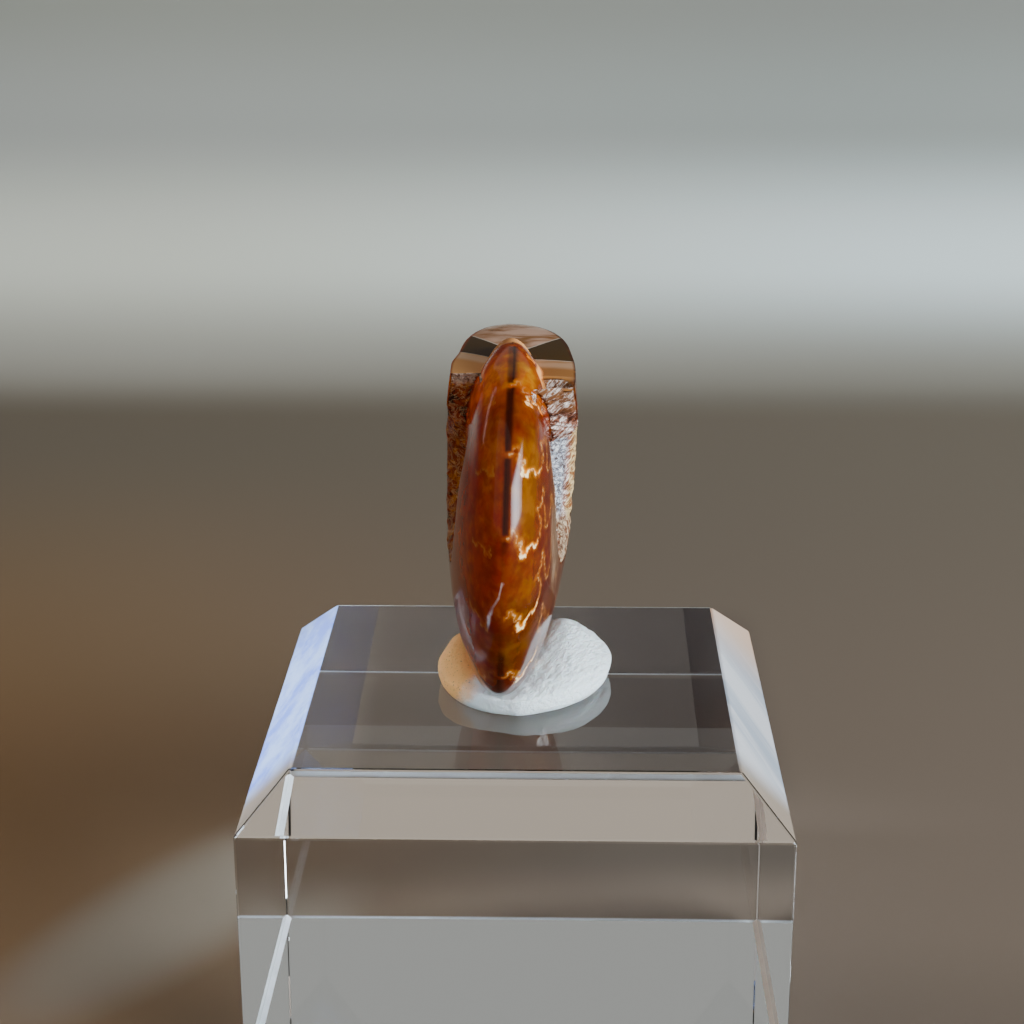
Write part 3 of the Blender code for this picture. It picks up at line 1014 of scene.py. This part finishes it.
def section_length(depth):
    """Distance from the keel along the flank, as a share of the keel's radius."""
    table = np.linspace(0.0, 1.0, 400)
    flank_share = np.clip(table / SHOULDER_DEPTH, 0.0, 1.0)
    wall = np.clip((table - SHOULDER_DEPTH) / UMBILICAL_WALL, 0.0, 1.0)
    out = np.sqrt(1.0 - (1.0 - flank_share) ** FLANK_POWER) * np.sqrt(1.0 - wall ** 2)
    out = FLANK_RATIO * out
    along = np.concatenate([[0.0], np.cumsum(np.hypot(np.diff(table), np.diff(out)))])
    return np.interp(depth, table, along)


def path_distance(across, along, path):
    """Distance of each point from a path, and how often a line towards growth crosses it."""
    best = np.full(across.shape, 9.0)
    crossings = np.zeros(across.shape, int)
    for (ax, ay), (bx, by) in zip(path[:-1], path[1:]):
        dx, dy = bx - ax, by - ay
        share = ((across - ax) * dx + (along - ay) * dy) / (dx * dx + dy * dy + 1e-12)
        share = np.clip(share, 0.0, 1.0)
        best = np.minimum(best, np.hypot(across - ax - share * dx, along - ay - share * dy))
        spans = (ax > across) != (bx > across)
        crossing = ay + (across - ax) * dy / (dx if abs(dx) > 1e-9 else 1e-9)
        crossings += spans & (crossing > along)
    return best, crossings


depth = np.clip(1.0 - radius / keel_radius(growth), 0.0, 1.0)
across = section_length(depth)
flat_place = np.stack([across * side_of, np.radians(growth), 0.0 * across], axis=-1)
wobble = 0.008 * layered_grain(flat_place, 0.11, 3, 2)
drift = 0.018 * grain(flat_place, 0.30, 8)
phase = (growth - SUTURE_START) / SUTURE_SPACING
whole = np.floor(phase)
along = (phase - whole) * ANGLE_SPACING
suture_distance = np.full(radius.shape, 9.0)
glow = np.zeros(radius.shape)
shade = np.zeros(radius.shape)
chamber = whole - 2.0
for copy in (-1, 0, 1, 2):
    ahead = along + drift - copy * ANGLE_SPACING
    near, crossings = path_distance(np.abs(across + wobble), ahead, suture)
    suture_distance = np.minimum(suture_distance, near)
    behind_line = crossings % 2 == 1
    chamber += ~behind_line
    tip = ease(ahead / (0.22 * ANGLE_SPACING)) * behind_line
    glow = np.maximum(glow, tip * np.exp(-near * keel_radius(growth) / 0.8))
    beyond = ease(ahead / (0.30 * ANGLE_SPACING) + 0.5) * ~behind_line
    shade = np.maximum(shade, beyond * np.exp(-near * keel_radius(growth) / 1.3))
suture_distance *= keel_radius(growth)
print("chambers from", chamber.min(), "to", chamber.max())

# %% [markdown]
# ## Broken and rough stone
# Where the last whorl broke away, and in the umbilicus, the stone was never polished.  There
# the surface is pushed in and out along its normal by noise, sharp and crystalline at the
# right and crumbly at the left.

# %% Relief
CRYSTAL_HEIGHT, CRUMB_HEIGHT, WORN_AWAY = 0.20, 0.22, 0.12


def surface_normals(place):
    """Unit normals of the grid: the cross product of its two directions."""
    one = np.gradient(place, axis=0)
    other = np.gradient(place, axis=1)
    normal = np.cross(one, other)
    length = np.linalg.norm(normal, axis=-1, keepdims=True)
    return normal / np.maximum(length, 1e-9)


wall_mark = ease((depth - 0.63) / 0.04)
facet_mark = both_sides("facet")
scar = both_sides("scar")
grooved = ease(both_sides("groove") / 0.5)
ragged = both_sides("chip") + 0.6 * layered_grain(points, 0.8, 51, 3) - 0.1
grooved = np.maximum(grooved, ease(ragged / 0.6) * (both_sides("chip") > 0.0))
facet_mark = facet_mark * (1.0 - grooved)
rough = np.clip(np.maximum(wall_mark, scar) * (1.0 - facet_mark), 0.0, 1.0)
rough = np.maximum(rough, grooved)
normals = surface_normals(points)
normals *= np.sign((normals[..., 0] * side_of).mean())
crystal = 1.0 - 2.0 * np.abs(layered_grain(points * (1.0, 1.0, 0.6), 0.9, 21, 4))
crumb = layered_grain(points, 0.9, 27, 4)
relief = np.where(side_of > 0.0, CRYSTAL_HEIGHT * crystal, CRUMB_HEIGHT * crumb)
points = points + normals * (rough * (relief - WORN_AWAY))[..., None]
print("rough share of the grid:", round(float((rough > 0.5).mean()), 3))

# %% [markdown]
# ## Chambers
# The stone inside each chamber is not one colour.  Some places are clear and glow gold, and
# others are dark garnet red.  Soft spots set where it is clear, and each chamber is a little
# lighter or darker than the next.  On the polished facet the chamber walls show in section as
# thin lines that sag forward towards the middle.

# %% Clearness of the stone
CLEAR_SPOTS = (  # growth, place sideways, reach along growth, reach sideways, amount
    (72.0, 2.6, 13.0, 1.7, 1.0), (52.0, 2.4, 16.0, 1.6, 0.45), (70.0, -2.2, 14.0, 1.4, 0.5),
    (48.0, -1.8, 13.0, 1.4, 0.5), (100.0, 2.4, 16.0, 2.2, 0.42), (126.0, 1.5, 12.0, 3.0, 0.4),
    (24.0, 1.8, 12.0, 2.5, 0.42), (24.0, -1.5, 12.0, 1.8, 0.45), (102.0, -2.6, 14.0, 2.4, -0.25),
)
CLEAR_BASE = 0.24


def clearness(growth, sideways, place):
    """0 where the stone is dark and 1 where it is clear: a sum of soft round spots and noise."""
    total = CLEAR_BASE + 0.16 * layered_grain(place, 0.16, 41)
    for g, a, reach_g, reach_a, amount in CLEAR_SPOTS:
        total += amount * np.exp(-((growth - g) / reach_g) ** 2 - ((sideways - a) / reach_a) ** 2)
    return total


sideways = across * keel_radius(growth) * side_of
chamber_shade = np.mod(np.sin(chamber * 12.9898 + side_of * 4.1) * 43758.5453, 1.0) - 0.5
front = (growth > 5.0) & (growth < 140.0) & (across < 0.5)
clear = clearness(growth, sideways, flat_place) + chamber_shade * np.where(front, 0.06, 0.35)
clear -= 0.34 * shade * np.where(side_of > 0.0, 1.0, 0.6)
clear += np.where(front, 0.0, 0.22)
print("clear share of the stone:", round(float((clear > 0.5).mean()), 3))

# %% Chamber walls on the facet
UPPER_WALL = (-0.3, 3.0, 1.85)
LOWER_LEFT, LOWER_RIGHT = (-1.45, -0.92), (0.36, -0.05)
UPPER_SCALE = 2.1

facet_x, facet_y = points[..., 0], points[..., 1]
middle_x, middle_y, slope = UPPER_WALL
upper = facet_y - (middle_y + slope * np.abs(facet_x - middle_x))
left_wall, right_wall = (start + tilt * facet_x for start, tilt in (LOWER_LEFT, LOWER_RIGHT))
lower = facet_y - np.where(facet_x < 0.0, left_wall, right_wall)
print("the upper wall bends at y =", middle_y, "mm")

# %% A healed crack
CRACK_TOP, CRACK_FOOT = (101.0, -0.10), (113.0, -1.15)
crack_scale = np.array([math.radians(1.0) * 17.2, 1.0])
crack_path = np.array([CRACK_TOP, (106.0, -0.42), (110.0, -1.0), CRACK_FOOT]) * crack_scale
crack_distance, _ = path_distance(growth * crack_scale[0], sideways, crack_path)
print("the crack is", round(float(np.hypot(*(crack_path[-1] - crack_path[0]))), 1), "mm long")

# %% Stone mesh
stone_poles = [points[:, end].mean(axis=0) for end in (0, -1)]
stone = grid_object("ammonite_stone", points, closed_rows=True, poles=stone_poles)
inward = radius / keel_radius(np.mod(angles, 360.0))[:, None]
stone_marks = {
    "suture": np.clip(suture_distance, 0.0, 3.0),
    "glow": glow,
    "clear": np.clip(clear, 0.0, 1.0),
    "rough": rough,
    "facet": facet_mark,
    "upper": np.clip(upper / UPPER_SCALE, -9.0, 9.0),
    "lower": np.clip(lower, -9.0, 9.0),
    "turn": angles[:, None] + 0.0 * radius,
    "inward": np.clip(inward, 0.0, 2.0),
    "side": side_of,
    "sideways": sideways,
    "growth": growth,
    "crack": np.clip(crack_distance, 0.0, 3.0),
    "lining": np.clip(both_sides("lining"), 0.0, 9.0),
}
for name, values in stone_marks.items():
    write_attribute(stone, name, values)
tidy_mesh(stone)
stone.data.shade_smooth()
stone.data.set_sharp_from_angle(angle=math.radians(38.0))
print("marks on the stone:", ", ".join(stone_marks))

# %% [markdown]
# ## The body of the stone
# The finish is built up in layers, each mixed over the one before by a mask.  First comes the
# body, which runs from garnet through brown to gold as the stone gets clearer.  Light is painted
# into it: the left flank, away from the window, is painted warmer and lighter than the right
# flank, which the window lights.  The tip is the lightest part, and the foot the darkest.

# %% Body of the stone
GARNET, BROWN, GOLD = (0.150, 0.0085, 0.0003), (0.180, 0.0225, 0.0005), (0.235, 0.060, 0.0003)
LEFT_PAINTED_LIGHT, RIGHT_PAINTED_SHADE = (2.5, 2.15, 1.2), (0.64, 0.75, 0.4)
MOTTLE_DARK, MOTTLE_LIGHT = (0.80, 0.68, 0.6), (1.12, 1.14, 1.0)
TIP_TINT, FOOT_TINT = (2.1, 2.6, 2.4), (0.72, 0.80, 0.8)

amber = Finish("amber_stone")
growth_mark = amber.attribute("growth")
sideways_mark = amber.attribute("sideways")
right_side = amber.step(amber.attribute("side"), -0.2, 0.2)
cloudy = amber.scaled(amber.noise(1.3, 4.0, 0.55, 0.3), 1.40, -0.70)
clear_mark = amber.plus(amber.attribute("clear"), cloudy)
body = amber.mix(amber.step(clear_mark, 0.02, 0.42), GARNET, BROWN)
body = amber.mix(amber.step(clear_mark, 0.38, 0.95), body, GOLD)
# painted light: the left flank lightened and the right flank darkened, as the light falls
lit_side = amber.step(sideways_mark, -2.5, 0.8)
body = amber.tint(1.0, body, amber.mix(lit_side, LEFT_PAINTED_LIGHT, RIGHT_PAINTED_SHADE))
mottle = amber.step(amber.noise(1.5, 3.0, 0.5, 0.2), 0.36, 0.62)
body = amber.tint(1.0, body, amber.mix(mottle, MOTTLE_DARK, MOTTLE_LIGHT))
body = amber.tint(amber.fade(growth_mark, 30.0, 46.0), body, TIP_TINT)
body = amber.tint(amber.step(growth_mark, 104.0, 122.0), body, FOOT_TINT)
print("the body takes", len(amber.tree.nodes), "nodes")

# %% [markdown]
# ## Suture lines
# The stone glows inside each finger of a suture, just behind the line.  The line itself has a
# soft orange halo and a cream core, and it wavers in width and fades here and there, because
# the polish has worn it to different depths.  It is strong on the right flank and faint on the
# left.

# %% Suture lines
GLOW_COLOUR, HALO_COLOUR = (0.78, 0.20, 0.003), (0.66, 0.22, 0.012)
CORE_LEFT, CORE_RIGHT = (0.50, 0.30, 0.10), (0.96, 0.72, 0.38)

glow_mark = amber.attribute("glow")
glow_share = amber.times(amber.step(glow_mark, 0.25, 0.95), amber.scaled(right_side, 0.70, 0.25))
body = amber.mix(glow_share, body, GLOW_COLOUR)

suture_mark = amber.attribute("suture")
waver = amber.scaled(amber.noise(0.40, 3.0), 0.46, -0.23)
line_distance = amber.scaled(glow_mark, -0.28, amber.plus(suture_mark, waver))
front_shown = amber.step(growth_mark, 17.0, 22.0)
shown = amber.sum("MAXIMUM", front_shown, amber.fade(growth_mark, -40.0, 0.0))
line_strength = amber.product(
    shown,
    amber.step(amber.noise(1.0, 3.0), 0.34, 0.52),
    amber.scaled(right_side, 0.75, 0.25),
    amber.scaled(amber.step(glow_mark, 0.25, 0.80), 0.74, 0.26),
    amber.scaled(amber.step(growth_mark, 44.0, 58.0), 0.55, 0.45),
)
halo = amber.times(amber.fade(line_distance, 0.02, 0.48), line_strength)
body = amber.mix(halo, body, HALO_COLOUR)
core = amber.times(amber.fade(line_distance, -0.04, 0.11), line_strength)
body = amber.mix(core, body, amber.mix(right_side, CORE_LEFT, CORE_RIGHT))
print("with the sutures it takes", len(amber.tree.nodes), "nodes")

# %% [markdown]
# ## Keel line, worn shell and crack
# The siphuncle, a thin tube that joined the chambers, shows as a dark stripe down the keel.  It
# breaks at each suture, fades out halfway down and shows again at the foot.  Where the right
# flank turns in to the umbilicus, a streaky rest of the shell is left.  One healed crack runs
# slantwise across the foot.

# %% Keel line, worn shell and crack
SIPHUNCLE_COLOUR, CRACK_COLOUR = (0.026, 0.003, 0.0008), (0.56, 0.44, 0.40)
WORN_DARK, WORN_LIGHT = (0.070, 0.022, 0.008), (0.32, 0.20, 0.12)

keel_shift = amber.scaled(amber.step(growth_mark, 18.0, 60.0), 0.24, -0.20)
keel_distance = amber.size(amber.plus(sideways_mark, keel_shift))
keel_edge = amber.scaled(amber.noise(0.9, 3.0), 0.22, 0.13)
siphuncle = amber.fade(amber.sum("SUBTRACT", keel_distance, keel_edge), -0.24, 0.34)
keel_fade = amber.sum("MAXIMUM", amber.fade(growth_mark, 84.0, 96.0), 0.20)
at_the_foot = amber.times(amber.step(growth_mark, 125.0, 130.0), 0.8)
keel_fade = amber.sum("MAXIMUM", keel_fade, at_the_foot)
between_lines = amber.step(suture_mark, 0.10, 0.45)
body = amber.mix(amber.product(siphuncle, between_lines, keel_fade), body, SIPHUNCLE_COLOUR)

worn = amber.product(
    right_side,
    amber.step(sideways_mark, 8.4, 9.8),
    amber.step(growth_mark, 78.0, 92.0),
    amber.fade(growth_mark, 122.0, 150.0),
    0.8,
)
worn_streak = amber.step(amber.strands((0.00025, 0.0005, 0.0026)), 0.36, 0.64)
body = amber.mix(worn, body, amber.mix(worn_streak, WORN_DARK, WORN_LIGHT))
crack = amber.times(amber.fade(amber.attribute("crack"), 0.02, 0.17), amber.noise(0.5, 3.0))
body = amber.mix(crack, body, CRACK_COLOUR)
print("with the keel line it takes", len(amber.tree.nodes), "nodes")

# %% [markdown]
# ## The broken stone at the left
# Here the break is crumbly: amber and garnet patches with pale curling veins, and a ledge of
# pinkish crumbs under the facet.  A vein is where a noise passes through its middle value.

# %% Broken stone, left
CRUMB_DARK = (0.030, 0.006, 0.002)
CRUMB_RED = (0.40, 0.050, 0.002)
CRUMB_AMBER = (0.72, 0.24, 0.012)
VEIN_COLOUR = (1.0, 0.72, 0.36)
LEDGE_DARK, LEDGE_PINK = (0.18, 0.06, 0.02), (1.0, 0.78, 0.64)

swirl = amber.size(amber.sum("SUBTRACT", amber.noise(1.5, 6.0, 0.62, 1.6), 0.5))
vein = amber.times(amber.fade(swirl, 0.006, 0.030), 0.6)
depths = amber.noise(1.3, 5.0, 0.6, 0.8)
broken_left = amber.mix(amber.step(depths, 0.36, 0.47), CRUMB_DARK, CRUMB_RED)
broken_left = amber.mix(amber.step(depths, 0.50, 0.60), broken_left, CRUMB_AMBER)
broken_left = amber.mix(vein, broken_left, VEIN_COLOUR)
ledge_height = amber.scaled(amber.noise(1.0, 4.0), 0.0012, amber.z)
ledge_crumbs = amber.step(amber.noise(0.45, 6.0, 0.7, 0.6), 0.36, 0.50)
ledge = amber.mix(ledge_crumbs, LEDGE_DARK, LEDGE_PINK)
broken_left = amber.mix(amber.step(ledge_height, 0.0618, 0.0624), broken_left, ledge)
print("with the left break it takes", len(amber.tree.nodes), "nodes")

# %% [markdown]
# ## The broken stone at the right
# Here slanting crystals, near white, stand on dark red stone under a brown ledge.  Further
# down lies a silvery column, the filling of the whorl behind, with a golden outer edge, and
# the lowest part is streaky brown shell.  The crystals are noise drawn out along a slanting
# axis, fine splinters over larger shards.

# %% Broken stone, right
CRYSTAL_DARK = (0.060, 0.012, 0.004)
CRYSTAL_RED = (0.34, 0.12, 0.06)
CRYSTAL_WHITE = (0.98, 0.86, 0.80)
SILVER_DARK, SILVER_BLUE, SILVER_WHITE = (0.05, 0.028, 0.025), (0.30, 0.38, 0.47), (0.95, 0.98, 1.0)
BROWN_LEDGE = ((0.28, 0.11, 0.035), (0.90, 0.77, 0.69))
GOLD_EDGE = ((0.26, 0.09, 0.02), (0.80, 0.58, 0.28))
SHELL_BROWN = ((0.17, 0.060, 0.022), (0.62, 0.46, 0.30))

turn_mark = amber.attribute("turn")
inward_mark = amber.attribute("inward")
splinters = amber.strands((0.0011, 0.0004, 0.00017), (0.0, -0.80, 0.0), 6.0, 0.72, 0.5)
shards = amber.strands((0.0024, 0.0009, 0.0007), (0.0, -0.65, 0.0), 3.0, 0.6, 0.4)
crystals = amber.scaled(shards, 0.40, amber.times(splinters, 0.60))
broken_right = amber.mix(amber.step(crystals, 0.44, 0.49), CRYSTAL_DARK, CRYSTAL_RED)
broken_right = amber.mix(amber.step(crystals, 0.508, 0.560), broken_right, CRYSTAL_WHITE)
brown_ledge = amber.mix(amber.step(crystals, 0.505, 0.555), *BROWN_LEDGE)
broken_right = amber.mix(amber.step(ledge_height, 0.0596, 0.0612), broken_right, brown_ledge)

grit = amber.noise(0.34, 6.0, 0.72, 0.8)
silver = amber.mix(amber.step(grit, 0.44, 0.49), SILVER_DARK, SILVER_BLUE)
silver = amber.mix(amber.step(grit, 0.515, 0.57), silver, SILVER_WHITE)
gold_edge = amber.mix(amber.step(crystals, 0.46, 0.54), *GOLD_EDGE)
shell_streaks = amber.step(amber.strands((0.00022, 0.0004, 0.0030)), 0.44, 0.58)
shell_brown = amber.mix(shell_streaks, *SHELL_BROWN)
behind_break = amber.step(turn_mark, 120.0, 180.0)
column = amber.product(behind_break, amber.fade(inward_mark, 0.275, 0.292), 0.85)
outer_edge = amber.times(behind_break, amber.step(inward_mark, 0.290, 0.305))
lowest = amber.times(behind_break, amber.fade(turn_mark, 218.0, 236.0))
for mask, colour in ((column, silver), (outer_edge, gold_edge), (lowest, shell_brown)):
    broken_right = amber.mix(mask, broken_right, colour)

rough_mark = amber.step(amber.attribute("rough"), 0.2, 0.7)
body = amber.mix(rough_mark, body, amber.mix(right_side, broken_left, broken_right))
print("with the right break it takes", len(amber.tree.nodes), "nodes")

# %% [markdown]
# ## The facet
# The flat facet at the top cuts two chamber walls, which show as thin pale lines.  Between
# them the stone is nearly black; behind them it is brown with a pale cloud in the middle, and
# in front of them brown with a lighter band.  Round the foot and the back of the front whorl's
# ridge, a lining of orange shell is left.

# %% Facet and lining
BAY_DARK = (0.078, 0.036, 0.002)
BACK_BAY = ((0.38, 0.150, 0.032), (0.98, 0.60, 0.42))
FRONT_LEFT = ((0.92, 0.45, 0.15), (1.0, 0.66, 0.40))
FRONT_RIGHT = ((0.40, 0.165, 0.042), (0.62, 0.36, 0.20))
SEPTUM_COLOUR, LINING_COLOUR = (0.84, 0.70, 0.56), (0.82, 0.34, 0.10)

upper_mark = amber.attribute("upper")
lower_mark = amber.attribute("lower")
facet_mask = amber.attribute("facet")
cloud = amber.strands((0.0042, 0.0030, 0.003), detail=4.0, roughness=0.55, twist=0.4)
cloud = amber.step(cloud, 0.34, 0.60)
in_middle = amber.fade(amber.size(amber.x), 0.0015, 0.0060)
back_bay = amber.mix(amber.times(cloud, amber.scaled(in_middle, 0.7, 0.25)), *BACK_BAY)
front_cloud = amber.strands((0.0060, 0.0021, 0.002), (0.0, 0.0, 0.1), 3.0, 0.5)
front_cloud = amber.step(front_cloud, 0.30, 0.52)
front_band = amber.fade(amber.size(amber.plus(lower_mark, 1.4)), 0.5, 2.0)
front_base, front_light = (
    amber.mix(right_side, left, right) for left, right in zip(FRONT_LEFT, FRONT_RIGHT)
)
front_bay = amber.mix(amber.times(front_band, front_cloud), front_base, front_light)
facet_colour = amber.mix(amber.step(upper_mark, -0.03, 0.03), BAY_DARK, back_bay)
facet_colour = amber.mix(amber.step(lower_mark, -0.03, 0.03), front_bay, facet_colour)
septum = amber.sum("MINIMUM", amber.size(upper_mark), amber.size(lower_mark))
facet_colour = amber.mix(amber.fade(septum, 0.05, 0.12), facet_colour, SEPTUM_COLOUR)
body = amber.mix(facet_mask, body, facet_colour)
lining = amber.fade(amber.attribute("lining"), 0.42, 0.72)
body = amber.mix(lining, body, LINING_COLOUR)
print("with the facet it takes", len(amber.tree.nodes), "nodes")

# %% [markdown]
# ## Polish and relief
# The flanks are polished, the facet still more, and the lining and the broken stone are dull.
# Faint upright scratches soften the gloss.  A bump adds the finest crumbs and crystals, too
# small for the mesh.

# %% Polish and relief
FLANK_ROUGHNESS, FACET_GAIN = 0.09, -0.04
LINING_DULLNESS, SCRATCH_DULLNESS, BREAK_DULLNESS = 0.50, 0.06, 0.18

crumbs = amber.noise(0.35, 6.0, 0.65, 0.6)
fine_relief = amber.times(amber.mix(right_side, crumbs, crystals), rough_mark)
scratches = amber.strands((0.0005, 0.0005, 0.006), (0.0, 0.15, 0.0), 3.0, 0.6, 0.0)
roughness = amber.scaled(facet_mask, FACET_GAIN, FLANK_ROUGHNESS)
DULL_PARTS = (
    (lining, LINING_DULLNESS),
    (scratches, SCRATCH_DULLNESS),
    (rough_mark, BREAK_DULLNESS),
)
for mask, dullness in DULL_PARTS:
    roughness = amber.scaled(mask, dullness, roughness)
amber.set(Base_Color=body, Roughness=roughness, Normal=amber.bump(fine_relief, 0.55), IOR=1.41)
amber.done(stone)
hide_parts("ammonite")
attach(stone, "root")
